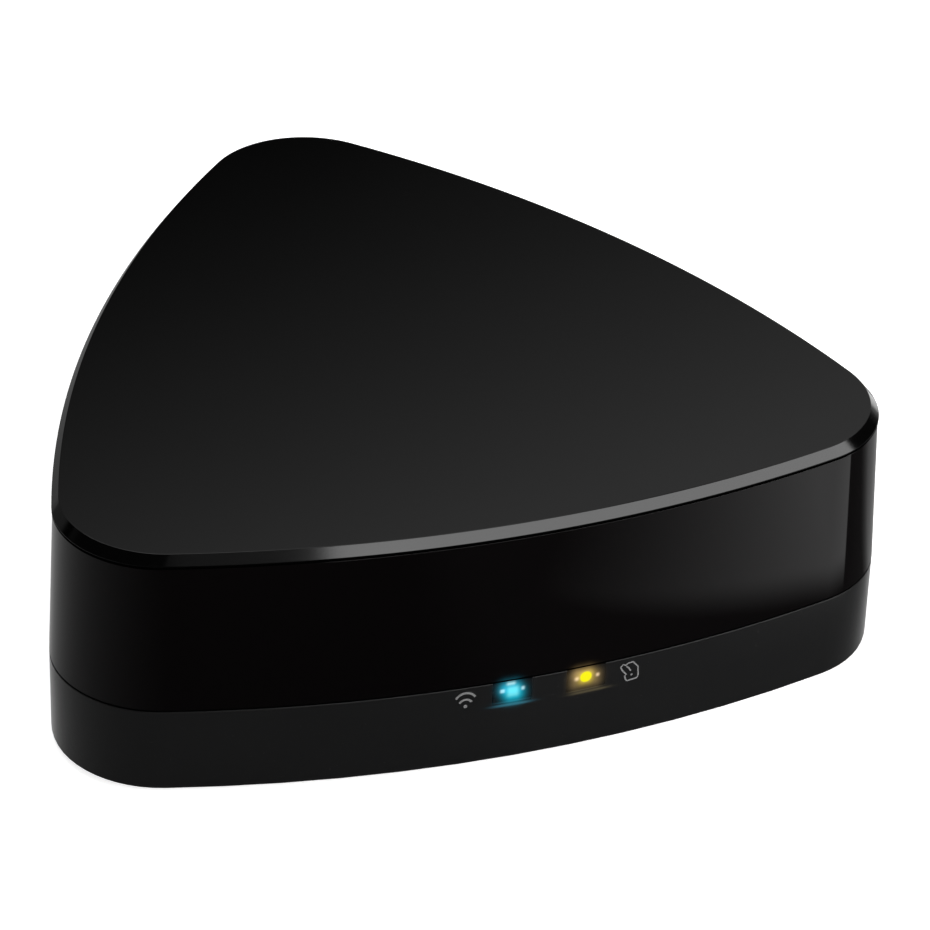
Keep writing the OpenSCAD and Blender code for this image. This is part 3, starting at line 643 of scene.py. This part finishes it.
# Colour and roughness of each material slot in the record
STEEL = rgb(0.45, 0.46, 0.47)
FINISHES = {
    "base_plastic": base_finish(),
    "cover_plastic": cover_finish(),
    "plate_plastic": plate_finish(),
    "window_plastic": window_finish(),
    "foot_rubber": moulded("rubber_black", rgb(0.016, 0.016, 0.016), 0.75, grain=0.0004, depth=0.00001),
    "screw_steel": metal("screw_zinc", STEEL, 0.32),
    "board_laminate": laminate("board_green", rgb(0.012, 0.10, 0.03)),
    "socket_metal": metal("socket_nickel", rgb(0.6, 0.6, 0.59), 0.24),
    "socket_plastic": moulded("socket_black", rgb(0.012, 0.012, 0.014), 0.45),
    "button_plastic": moulded("button_black", rgb(0.015, 0.015, 0.016), 0.42),
    "switch_plastic": moulded("switch_grey", rgb(0.04, 0.042, 0.045), 0.5),
    "plunger_plastic": moulded("plunger_cream", rgb(0.72, 0.66, 0.5), 0.45),
    "module_laminate": laminate("module_black", rgb(0.012, 0.014, 0.02)),
    "shield_metal": metal("shield_tin", rgb(0.58, 0.59, 0.6), 0.3),
    "emitter_epoxy": moulded("emitter_clear_blue", rgb(0.45, 0.52, 0.62), 0.08),
    "receiver_epoxy": moulded("receiver_black", rgb(0.012, 0.009, 0.011), 0.15),
    "lead_metal": metal("lead_tin", rgb(0.62, 0.63, 0.63), 0.28),
    "led_blue": lamp_finish("lamp_blue", rgb(0.1, 0.8, 1.0)),
    "led_yellow": lamp_finish("lamp_yellow", rgb(1.0, 0.85, 0.0)),
    "chip_epoxy": moulded("chip_black", rgb(0.014, 0.014, 0.015), 0.55),
    "ferrite": moulded("ferrite_grey", rgb(0.05, 0.052, 0.056), 0.6),
    "can_aluminium": metal("can_bright", rgb(0.7, 0.71, 0.72), 0.25),
    "crystal_metal": metal("crystal_bright", rgb(0.6, 0.61, 0.62), 0.22),
    "ceramic": moulded("ceramic_tan", rgb(0.38, 0.26, 0.14), 0.5)}


def dress(piece, slot):
    """Gives a piece its finish, in every material slot that it has."""
    if not piece.material_slots:
        piece.data.materials.append(None)
    for held in piece.material_slots:
        held.link = "OBJECT"
        held.material = FINISHES[slot].material


def dress_nodes():
    """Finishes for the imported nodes, by the record's own material slots."""
    slots = {row["node"]: row["material_slot"] for row in frame["record"]["subparts"]}
    for name, piece in frame["nodes"].items():
        dress(piece, slots[name])


dress_nodes()
smoothing = smooth_by_angle(SMOOTH_ANGLE)
frame["nodes"]["base_shell"].modifiers.new("smooth", "NODES").node_group = smoothing

cover = make_cover()
plate = make_plate()
for piece, node, slot in ((cover, "ir_cover", "cover_plastic"), (plate, "top_plate", "plate_plastic")):
    dress(piece, slot)
    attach(piece, "housing")
    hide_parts(node)

# Printed marks beside the windows, in metres: X along the front and depth below the seam
PRINT_PROUD = 0.00002
PRINT_SUNK = 0.00006
STROKE = 0.00032
THIN_STROKE = 0.00022
SIGNAL_X = -0.0073
SIGNAL_DOT_DEPTH, SIGNAL_DOT_R = 0.00301, 0.00028
SIGNAL_ARCS = ((0.00241, 0.00157), (0.00287, 0.00097))
SIGNAL_SPREAD = math.radians(60)
HAND_OUTLINE = (
    (0.01510, 0.00133), (0.01546, 0.00092), (0.01584, 0.00118), (0.01620, 0.00087), (0.01693, 0.00084),
    (0.01769, 0.00175), (0.01781, 0.00328), (0.01761, 0.00364), (0.01619, 0.00379), (0.01592, 0.00353),
    (0.01576, 0.00292), (0.01598, 0.00269), (0.01536, 0.00191))
HAND_FOLD = ((0.01595, 0.00133), (0.01633, 0.00171), (0.01664, 0.00224))
HAND_DOT, HAND_DOT_R = (0.01678, 0.00290), 0.00017
# A dot's stroke is a little narrower than its radius, so that its inner edge doesn't fold over
DOT_SHARE = 0.98
MARK_TONE, MARK_ROUGH = rgb(0.2, 0.2, 0.2), 0.6


def front_point(x, depth, proud):
    """A point on the bowed front of the base, standing proud of it."""
    radius = SIDE_R - BASE_DRAFT * depth / BASE_H + proud
    return (x * radius / SIDE_R, PLAN_SHIFT + SIDE_SET - math.sqrt(radius ** 2 - x ** 2), SEAM - depth)


def printed_stroke(path, width, closed):
    """A thin closed strip along a path of (x, depth) points on the front."""
    count = len(path)
    verts, faces = [], []
    for i, point in enumerate(path):
        ahead = path[(i + 1) % count] if closed or i < count - 1 else point
        back = path[i - 1] if closed or i > 0 else point
        along = (Vector(ahead) - Vector(back)).normalized()
        across = Vector((-along.y, along.x)) * width / 2
        for side, proud in ((1, PRINT_PROUD), (-1, PRINT_PROUD), (-1, -PRINT_SUNK), (1, -PRINT_SUNK)):
            spot_at = Vector(point) + across * side
            verts.append(front_point(spot_at.x, spot_at.y, proud))
    for i in range(count if closed else count - 1):
        n = (i + 1) % count
        for k in range(4):
            m = (k + 1) % 4
            faces.append([i * 4 + k, i * 4 + m, n * 4 + m, n * 4 + k])
    if not closed:
        faces.append([3, 2, 1, 0])
        faces.append([(count - 1) * 4 + k for k in range(4)])
    return verts, faces


def arc_path(x, depth, radius, start, end, steps=24):
    """Points of an arc on the front; angles run from +X upwards."""
    turns = [start + (end - start) * i / steps for i in range(steps + 1)]
    return [(x + radius * math.cos(t), depth - radius * math.sin(t)) for t in turns]


def dot(x, depth, radius):
    """A dot: a closed stroke nearly as wide as its radius."""
    return printed_stroke(arc_path(x, depth, radius / 2, 0, 2 * math.pi)[:-1], radius * DOT_SHARE, True)


def make_marks():
    """Signal arcs beside the left window and a small outline of a hand beside the right one."""
    low, high = math.pi / 2 - SIGNAL_SPREAD, math.pi / 2 + SIGNAL_SPREAD
    parts = [printed_stroke(arc_path(SIGNAL_X, depth, radius, low, high), STROKE, False)
             for depth, radius in SIGNAL_ARCS]
    parts.append(dot(SIGNAL_X, SIGNAL_DOT_DEPTH, SIGNAL_DOT_R))
    parts.append(printed_stroke(HAND_OUTLINE, THIN_STROKE, True))
    parts.append(printed_stroke(HAND_FOLD, THIN_STROKE, False))
    parts.append(dot(*HAND_DOT, HAND_DOT_R))
    verts, faces = [], []
    for more_verts, more_faces in parts:
        shift = len(verts)
        verts += more_verts
        faces += [[v + shift for v in face] for face in more_faces]
    piece = new_mesh("status_marks", verts, faces)
    ink = moulded("mark_print", MARK_TONE, MARK_ROUGH, grain=0.0001, depth=0.000001)
    piece.data.materials.append(ink.material)
    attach(piece, "housing")


make_marks()

# Black bands as painted shade in the shadow lines at the seam and under the plate, as sections of (inset,
# height) points
SHADE_BAND_TONE, SHADE_BAND_ROUGH = rgb(0.0006, 0.0006, 0.0006), 0.9
SEAM_SHADE_BAND = (
    (SHADE_BAND_INSET, SEAM - SHADE_BAND_DROP),
    (SHADE_BAND_INSET, SEAM + NOTCH_H),
    (NOTCH_DEPTH, SEAM + NOTCH_H),
    (NOTCH_DEPTH, SEAM - SHADE_BAND_DROP))
PLATE_SHADE_BAND = (
    (COVER_DRAFT + SHADE_BAND_INSET, ROOF - COVER_BREAK),
    (RIM_INSET + SHADE_BAND_INSET, ROOF),
    (RIM_INSET + SHADE_BAND_INSET, ROOF + RIM_H),
    (RIM_INSET + RIM_UNDERCUT, ROOF + RIM_H),
    (RIM_INSET + RIM_UNDERCUT + SLIP, ROOF),
    (COVER_DRAFT + COVER_BREAK, ROOF - COVER_BREAK))
shade_band_finish = moulded("painted_shade_black", SHADE_BAND_TONE, SHADE_BAND_ROUGH, grain=0.0003, depth=0.000002)
shade_band_finish.set(Specular_IOR_Level=0.0)
for name, section in (("seam_shade_band", SEAM_SHADE_BAND), ("plate_shade_band", PLATE_SHADE_BAND)):
    shade_band = make_shade_band(name, section)
    shade_band.data.materials.append(shade_band_finish.material)
    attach(shade_band, "housing")

# Camera at the photograph's viewing angle
CAMERA_TARGET = Vector((0.009056, -0.007289, 0.01657))
CAMERA_DISTANCE = 0.795195
CAMERA_AZIMUTH = -0.34769
CAMERA_ELEVATION = 0.56629
CAMERA_ROLL = 0.03365
CAMERA_LENS = 217.17
CAMERA_SENSOR = 36.0
CAMERA_CLIP = (0.01, 50.0)


def make_camera():
    """The camera, aimed from its target, direction and roll."""
    data = bpy.data.cameras.new("camera")
    data.sensor_width = CAMERA_SENSOR
    data.lens = CAMERA_LENS
    data.clip_start, data.clip_end = CAMERA_CLIP
    camera = bpy.data.objects.new("camera", data)
    bpy.context.scene.collection.objects.link(camera)
    back = Vector((math.sin(CAMERA_AZIMUTH) * math.cos(CAMERA_ELEVATION),
                   -math.cos(CAMERA_AZIMUTH) * math.cos(CAMERA_ELEVATION),
                   math.sin(CAMERA_ELEVATION)))
    right = Vector((0, 0, 1)).cross(back).normalized()
    up = back.cross(right)
    cosine, sine = math.cos(CAMERA_ROLL), math.sin(CAMERA_ROLL)
    right, up = cosine * right + sine * up, cosine * up - sine * right
    at = [CAMERA_TARGET[i] + back[i] * CAMERA_DISTANCE for i in range(3)]
    rows = [(right[i], up[i], back[i], at[i]) for i in range(3)]
    camera.matrix_world = Matrix((*rows, (0, 0, 0, 1)))
    bpy.context.scene.camera = camera


# Brightness of the world: to the camera, to diffuse light, in reflections, and in those of the rear sides
WORLD_WHITE = 1.0
WORLD_FILL = 0.05
WORLD_DARK = 0.01
WORLD_SIDES = 0.04
# Where the glow of the rear sides starts and is full, by the parts of a direction: sideways, rearwards
SIDES_FROM, SIDES_FULL = 0.45, 0.75
REAR_FROM, REAR_FULL = 0.25, 0.5
# A low glow ahead on the right, for the top face as seen from behind, by the parts of a direction
WORLD_FRONT = 0.13
FRONT_FROM, FRONT_FULL = -0.5, -0.65
FRONT_LEFT = (-0.1, 0.1)
FRONT_TOP = (0.5, 0.4)


def make_world():
    """White to the camera, and in reflections dark, with low glows on both rear sides and ahead."""
    world = bpy.data.worlds.new("studio")
    bpy.context.scene.world = world
    world.use_nodes = True
    tree = world.node_tree
    background = tree.nodes["Background"]

    def ramp(value, low, high, start=0.0, end=1.0, smooth=False):
        """From low to high while the value goes from start to end."""
        made = tree.nodes.new("ShaderNodeMapRange")
        if smooth:
            made.interpolation_type = "SMOOTHSTEP"
        given = {"Value": value, "From Min": start, "From Max": end, "To Min": low, "To Max": high}
        for name, number in given.items():
            if isinstance(number, bpy.types.NodeSocket):
                tree.links.new(number, made.inputs[name])
            else:
                made.inputs[name].default_value = number
        return made.outputs["Result"]

    def join(operation, a, b=None):
        made = tree.nodes.new("ShaderNodeMath")
        made.operation = operation
        tree.links.new(a, made.inputs[0])
        if b is not None:
            tree.links.new(b, made.inputs[1])
        return made.outputs[0]

    path = tree.nodes.new("ShaderNodeLightPath")
    parts = tree.nodes.new("ShaderNodeSeparateXYZ")
    tree.links.new(tree.nodes.new("ShaderNodeTexCoord").outputs["Generated"], parts.inputs[0])
    rear = ramp(parts.outputs["Y"], 0.0, 1.0, REAR_FROM, REAR_FULL, smooth=True)
    aside = join("MULTIPLY", join("ABSOLUTE", parts.outputs["X"]), rear)
    sides = ramp(aside, WORLD_DARK, WORLD_SIDES, SIDES_FROM, SIDES_FULL, smooth=True)
    ahead = ramp(parts.outputs["Y"], 0.0, WORLD_FRONT, FRONT_FROM, FRONT_FULL, smooth=True)
    ahead = join("MULTIPLY", ahead, ramp(parts.outputs["X"], 0.0, 1.0, *FRONT_LEFT, smooth=True))
    ahead = join("MULTIPLY", ahead, ramp(parts.outputs["Z"], 0.0, 1.0, *FRONT_TOP, smooth=True))
    unseen = ramp(path.outputs["Is Glossy Ray"], WORLD_FILL, join("ADD", sides, ahead))
    seen = ramp(path.outputs["Is Camera Ray"], unseen, WORLD_WHITE)
    tree.links.new(seen, background.inputs["Strength"])
    background.inputs["Color"].default_value = rgb(1, 1, 1)


def plane(name, width, depth):
    """A flat studio piece, level and about the origin."""
    signs = ((-1, -1), (1, -1), (1, 1), (-1, 1))
    verts = [(x * width / 2, y * depth / 2, 0) for x, y in signs]
    piece = new_mesh(name, verts, [[0, 1, 2, 3]])
    return piece


FLOOR_SIZE = 6.0
FLOOR_WHITE = 0.8
# Brightness of the floor in reflections, as square roots of its radiance, by bearing round a front corner
REAR_LEVEL = 0.63
FRONT_LEVEL = 0.146
LEFT_BEARINGS = (118, 258)
SHADE_LEVEL = 0.2
FLANK_LEVEL = 0.53
RIGHT_BEARINGS = (-6, 9, 60)
# Where the levels on the left pass into those on the right
MIDDLE_X = (-0.01, 0.01)
# The bright sheet on the right, placed by distances in metres along four level directions. Its level
# rises along RUN_WAY, and it ends at a line across END_WAY. Towards the object it fades at a line across
# AWAY_WAY, which turns round the point SHEET_TURN, given along AWAY_WAY and PAST_WAY
RUN_WAY = (0.75, 0.66)
END_WAY = (0.225, 1.0)
AWAY_WAY = (0.483, -0.877)
PAST_WAY = (0.877, 0.483)
SHEET_LEVEL = 0.84
SHEET_RUN = (-0.0709, 0.0098)
SHEET_END = (-0.0396, -0.0380)
SHEET_TURN = (0.05175, 0.02139)
SHEET_NEAR = (0.030, 0.0465)
# The far floor on the left is dimmer, and a bright sector behind the right corner is seen in its bevel
FAR_LEFT = (0.10, 0.16)
FAR_SHARE = 0.7
PATCH_LEVEL = 1.22
PATCH_BEARINGS = (31, 38, 50, 64)
PATCH_REACH = (0.080, 0.120)


def bearing(f, x, y, corner, back):
    """Bearing in degrees of the floor round a corner: 0 to 360, or -180 to 180 with back -1."""
    across = f.math("MULTIPLY", f.math("SUBTRACT", x, corner.x), -back)
    along = f.math("MULTIPLY", f.math("SUBTRACT", y, corner.y), -back)
    angle = f.math("MULTIPLY", f.math("ARCTAN2", along, across), 180 / math.pi)
    return f.math("ADD", angle, 90 + 90 * back)


def floor_levels(f):
    """What reflections see of the floor: the surround on both sides, the sheet and the bright sector."""
    where = f.node("ShaderNodeNewGeometry").outputs["Position"]
    parts = f.node("ShaderNodeSeparateXYZ", {0: where})
    x, y = parts.outputs["X"], parts.outputs["Y"]
    left_corner = corner_point(LEFT_CORNER, CORNER_REACH)
    right_corner = corner_point(RIGHT_CORNER, CORNER_REACH)

    def times(a, b):
        return f.math("MULTIPLY", a, b)

    def along(way):
        return f.math("ADD", times(x, way[0]), times(y, way[1]))

    def reach(corner):
        return f.vector("LENGTH", f.vector("SUBTRACT", where, tuple(corner)))

    left = f.spread(bearing(f, x, y, left_corner, 1), *LEFT_BEARINGS, REAR_LEVEL, FRONT_LEVEL)
    left = times(left, f.spread(reach(left_corner), *FAR_LEFT, 1.0, FAR_SHARE, smooth=True))
    turn = bearing(f, x, y, right_corner, -1)
    flank = f.spread(turn, *RIGHT_BEARINGS[:2], SHADE_LEVEL, FLANK_LEVEL)
    right = f.math("ADD", flank, f.spread(turn, *RIGHT_BEARINGS[1:], 0, REAR_LEVEL - FLANK_LEVEL))
    share = f.spread(x, *MIDDLE_X, 0.0, 1.0, smooth=True)
    surround = f.math("ADD", times(left, f.math("SUBTRACT", 1.0, share)), times(right, share))

    sheet = times(f.spread(along(RUN_WAY), *SHEET_RUN, 0, SHEET_LEVEL),
                  f.spread(along(END_WAY), *SHEET_END, 1, 0, smooth=True))
    away = f.math("SUBTRACT", along(AWAY_WAY), SHEET_TURN[0])
    past = f.math("MAXIMUM", f.math("SUBTRACT", along(PAST_WAY), SHEET_TURN[1]), 0.0)
    off = f.node("ShaderNodeCombineXYZ", {0: away, 1: past}).outputs[0]
    sheet = times(sheet, f.spread(f.vector("LENGTH", off), *SHEET_NEAR, 0, 1, smooth=True))

    patch = times(f.spread(turn, *PATCH_BEARINGS[:2], 0, PATCH_LEVEL, smooth=True),
                  f.spread(turn, *PATCH_BEARINGS[2:], 1, 0, smooth=True))
    patch = times(patch, f.spread(reach(right_corner), *PATCH_REACH, 0, 1, smooth=True))
    return f.math("MAXIMUM", f.math("MAXIMUM", surround, sheet), patch)


def make_floor():
    """Pale floor: white to the camera with the object's soft shadow, and lit in part in reflections."""
    floor = plane("floor", FLOOR_SIZE, FLOOR_SIZE)
    f = Finish("floor_pale")
    f.tree.nodes.remove(f.shader)
    path = f.node("ShaderNodeLightPath")
    seen = f.math("POWER", floor_levels(f), 2.0)
    glossy = f.node("ShaderNodeEmission", {"Color": rgb(1, 1, 1), "Strength": seen}).outputs[0]
    pale = rgb(FLOOR_WHITE, FLOOR_WHITE, FLOOR_WHITE)
    diffuse = f.node("ShaderNodeBsdfDiffuse", {"Color": pale}).outputs[0]
    white = f.node("ShaderNodeEmission", {"Color": rgb(1, 1, 1), "Strength": FLOOR_WHITE}).outputs[0]
    lit = f.node("ShaderNodeAddShader", {0: diffuse, 1: white}).outputs[0]
    base = f.node("ShaderNodeMixShader", {0: path.outputs["Is Camera Ray"], 1: diffuse, 2: lit}).outputs[0]
    final = f.node("ShaderNodeMixShader", {0: path.outputs["Is Glossy Ray"], 1: base, 2: glossy}).outputs[0]
    f.put(f.output.inputs["Surface"], final)
    floor.data.materials.append(f.material)


def aim(obj, at, target):
    """Puts a lamp or card at a place and turns its face to the target."""
    obj.location = at
    obj.rotation_mode = "QUATERNION"
    obj.rotation_quaternion = (Vector(target) - Vector(at)).to_track_quat("-Z", "Y")


# Lamps. Each has its azimuth, elevation and roll in degrees, its distance, width and height in metres,
# its radiance, and whether reflections see it
LAMPS = {
    "front_softbox": (-50.8, 31.7, -20.2, 0.8, 1.025, 0.2, 3.9, True),
    "front_fill": (-50.8, 22, 0, 0.8, 0.962, 0.26, 5.2, False),
    "front_fade": (-93, 38, 0, 0.9, 0.317, 0.3, 0.16, True),
    "overhead": (100, 82, 0, 0.9, 0.7, 0.7, 1.6, True),
    "left_fill": (190, 35, 0, 0.9, 0.5, 0.4, 1.0, False),
    "rear_softbox": (135, 50, 0, 0.9, 0.5, 0.35, 1.5, True),
    "side_softbox": (20, 50, 0, 0.9, 0.45, 0.3, 1.2, True)}


def softbox(name, azimuth, elevation, roll, distance, width, height, radiance, glossy):
    """A rectangular lamp that faces the top of the object."""
    data = bpy.data.lights.new(name, "AREA")
    data.shape = "RECTANGLE"
    data.size, data.size_y = width, height
    data.energy = radiance * math.pi * width * height
    lamp = bpy.data.objects.new(name, data)
    bpy.context.scene.collection.objects.link(lamp)
    turn, rise = math.radians(azimuth), math.radians(elevation)
    level = math.cos(rise)
    at = Vector((math.cos(turn) * level, math.sin(turn) * level, math.sin(rise))) * distance
    aim(lamp, at, (0, 0, TOP))
    lamp.rotation_quaternion = lamp.rotation_quaternion @ Quaternion((0, 0, 1), math.radians(roll))
    lamp.visible_camera = False
    lamp.visible_glossy = glossy


# The back card: its place, its size, and its level at CARD_AT, which rises upwards and to the right.
# Levels are square roots of radiance
CARD_Y = 0.35
CARD_W, CARD_H = 1.4, 0.8
CARD_LIFT = 0.01
CARD_AT = (0.066, 0.304)
CARD_LEVEL, CARD_RISE, CARD_DRIFT = 0.446, 3.8, 0.93
CARD_LIMITS = (0.03, 0.62)
# To the left, and low down, a plainer gradient takes over, and the far left end is dark
CARD_LEFT = (-0.06, -0.16)
CARD_LOW = (0.17, 0.10)
CARD_END = (-0.42, -0.56)
PLAIN_LEVEL, PLAIN_RISE = 0.30, 0.5


def make_back_card():
    """Upright card behind the object that the top face mirrors."""
    card = plane("back_card", CARD_W, CARD_H)
    f = Finish("card_gradient")
    f.tree.nodes.remove(f.shader)
    parts = f.node("ShaderNodeSeparateXYZ", {0: f.node("ShaderNodeNewGeometry").outputs["Position"]})
    x, z = parts.outputs["X"], parts.outputs["Z"]
    rise = f.math("MULTIPLY", f.math("SUBTRACT", z, CARD_AT[1]), CARD_RISE)
    drift = f.math("MULTIPLY", f.math("SUBTRACT", x, CARD_AT[0]), CARD_DRIFT)
    level = f.math("ADD", f.math("ADD", rise, drift), CARD_LEVEL)
    level = f.math("MAXIMUM", f.math("MINIMUM", level, CARD_LIMITS[1]), CARD_LIMITS[0])
    outside = f.math("MAXIMUM", f.spread(x, *CARD_LEFT, 0, 1, smooth=True),
                     f.spread(z, *CARD_LOW, 0, 1, smooth=True))
    plain = f.math("ADD", f.math("MULTIPLY", z, PLAIN_RISE), PLAIN_LEVEL)
    level = f.math("MAXIMUM", level, f.math("MULTIPLY", plain, outside))
    level = f.math("MULTIPLY", level, f.spread(x, *CARD_END, 1, 0, smooth=True))
    shine = f.node("ShaderNodeEmission", {"Color": rgb(1, 1, 1), "Strength": f.math("POWER", level, 2.0)})
    f.put(f.output.inputs["Surface"], shine.outputs[0])
    card.data.materials.append(f.material)
    height = CARD_H / 2 + CARD_LIFT
    aim(card, (CARD_AT[0], CARD_Y, height), (CARD_AT[0], 0, height))
    card.visible_camera = False
    card.visible_diffuse = False
    card.visible_shadow = False


make_camera()
make_world()
make_floor()
make_back_card()
for lamp_name, lamp_values in LAMPS.items():
    softbox(lamp_name, *lamp_values)

view = bpy.context.scene.view_settings
view.view_transform = "Standard"
